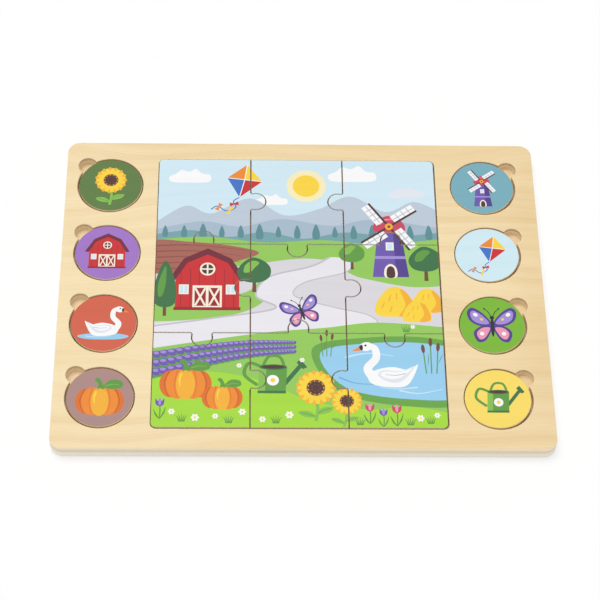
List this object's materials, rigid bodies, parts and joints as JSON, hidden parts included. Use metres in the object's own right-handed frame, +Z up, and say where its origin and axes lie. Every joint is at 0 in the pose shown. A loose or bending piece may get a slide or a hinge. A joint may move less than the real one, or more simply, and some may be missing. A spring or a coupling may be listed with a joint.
{
  "type": "matching puzzle",
  "caption": "Flat wooden tray puzzle with interlocking picture pieces in a central recess and round picture discs in side pockets with finger notches; every piece lifts out.",
  "frame": {"origin": "under the middle of the tray, on the table", "axes": "+X along the tray's long side, to the right of a child at its front edge; +Y towards the back edge; +Z up"},
  "size_m": [0.3, 0.225, 0.01],
  "materials": {
    "frame_wood": "fine sanded pale wood, clear satin lacquer",
    "base_wood": "fine sanded pale wood, clear satin lacquer",
    "picture_print": "printed picture on wood, satin",
    "dark_green_disc": "printed wood, satin",
    "purple_disc": "printed wood, satin",
    "coral_disc": "printed wood, satin",
    "mauve_disc": "printed wood, satin",
    "teal_disc": "printed wood, satin",
    "pale_blue_disc": "printed wood, satin",
    "bright_green_disc": "printed wood, satin",
    "yellow_disc": "printed wood, satin"
  },
  "bodies": {
    "tray": {"base_board": "base_wood", "frame_board": "frame_wood"},
    "puzzle_piece_back_left": {"puzzle_piece_back_left": "picture_print"},
    "puzzle_piece_back_centre": {"puzzle_piece_back_centre": "picture_print"},
    "puzzle_piece_back_right": {"puzzle_piece_back_right": "picture_print"},
    "puzzle_piece_middle_left": {"puzzle_piece_middle_left": "picture_print"},
    "puzzle_piece_middle_centre": {"puzzle_piece_middle_centre": "picture_print"},
    "puzzle_piece_middle_right": {"puzzle_piece_middle_right": "picture_print"},
    "puzzle_piece_front_left": {"puzzle_piece_front_left": "picture_print"},
    "puzzle_piece_front_centre": {"puzzle_piece_front_centre": "picture_print"},
    "puzzle_piece_front_right": {"puzzle_piece_front_right": "picture_print"},
    "match_disc_left_1": {"match_disc_left_1": "dark_green_disc"},
    "match_disc_left_2": {"match_disc_left_2": "purple_disc"},
    "match_disc_left_3": {"match_disc_left_3": "coral_disc"},
    "match_disc_left_4": {"match_disc_left_4": "mauve_disc"},
    "match_disc_right_1": {"match_disc_right_1": "teal_disc"},
    "match_disc_right_2": {"match_disc_right_2": "pale_blue_disc"},
    "match_disc_right_3": {"match_disc_right_3": "bright_green_disc"},
    "match_disc_right_4": {"match_disc_right_4": "yellow_disc"}
  },
  "joints": [
    {"name": "lift_back_left", "type": "slide", "parent": "tray", "child": "puzzle_piece_back_left", "axis": [0, 0, 1], "range_m": [0, 0.03]},
    {"name": "lift_back_centre", "type": "slide", "parent": "tray", "child": "puzzle_piece_back_centre", "axis": [0, 0, 1], "range_m": [0, 0.03]},
    {"name": "lift_back_right", "type": "slide", "parent": "tray", "child": "puzzle_piece_back_right", "axis": [0, 0, 1], "range_m": [0, 0.03]},
    {"name": "lift_middle_left", "type": "slide", "parent": "tray", "child": "puzzle_piece_middle_left", "axis": [0, 0, 1], "range_m": [0, 0.03]},
    {"name": "lift_middle_centre", "type": "slide", "parent": "tray", "child": "puzzle_piece_middle_centre", "axis": [0, 0, 1], "range_m": [0, 0.03]},
    {"name": "lift_middle_right", "type": "slide", "parent": "tray", "child": "puzzle_piece_middle_right", "axis": [0, 0, 1], "range_m": [0, 0.03]},
    {"name": "lift_front_left", "type": "slide", "parent": "tray", "child": "puzzle_piece_front_left", "axis": [0, 0, 1], "range_m": [0, 0.03]},
    {"name": "lift_front_centre", "type": "slide", "parent": "tray", "child": "puzzle_piece_front_centre", "axis": [0, 0, 1], "range_m": [0, 0.03]},
    {"name": "lift_front_right", "type": "slide", "parent": "tray", "child": "puzzle_piece_front_right", "axis": [0, 0, 1], "range_m": [0, 0.03]},
    {"name": "lift_disc_left_1", "type": "slide", "parent": "tray", "child": "match_disc_left_1", "axis": [0, 0, 1], "range_m": [0, 0.03]},
    {"name": "lift_disc_left_2", "type": "slide", "parent": "tray", "child": "match_disc_left_2", "axis": [0, 0, 1], "range_m": [0, 0.03]},
    {"name": "lift_disc_left_3", "type": "slide", "parent": "tray", "child": "match_disc_left_3", "axis": [0, 0, 1], "range_m": [0, 0.03]},
    {"name": "lift_disc_left_4", "type": "slide", "parent": "tray", "child": "match_disc_left_4", "axis": [0, 0, 1], "range_m": [0, 0.03]},
    {"name": "lift_disc_right_1", "type": "slide", "parent": "tray", "child": "match_disc_right_1", "axis": [0, 0, 1], "range_m": [0, 0.03]},
    {"name": "lift_disc_right_2", "type": "slide", "parent": "tray", "child": "match_disc_right_2", "axis": [0, 0, 1], "range_m": [0, 0.03]},
    {"name": "lift_disc_right_3", "type": "slide", "parent": "tray", "child": "match_disc_right_3", "axis": [0, 0, 1], "range_m": [0, 0.03]},
    {"name": "lift_disc_right_4", "type": "slide", "parent": "tray", "child": "match_disc_right_4", "axis": [0, 0, 1], "range_m": [0, 0.03]}
  ]
}
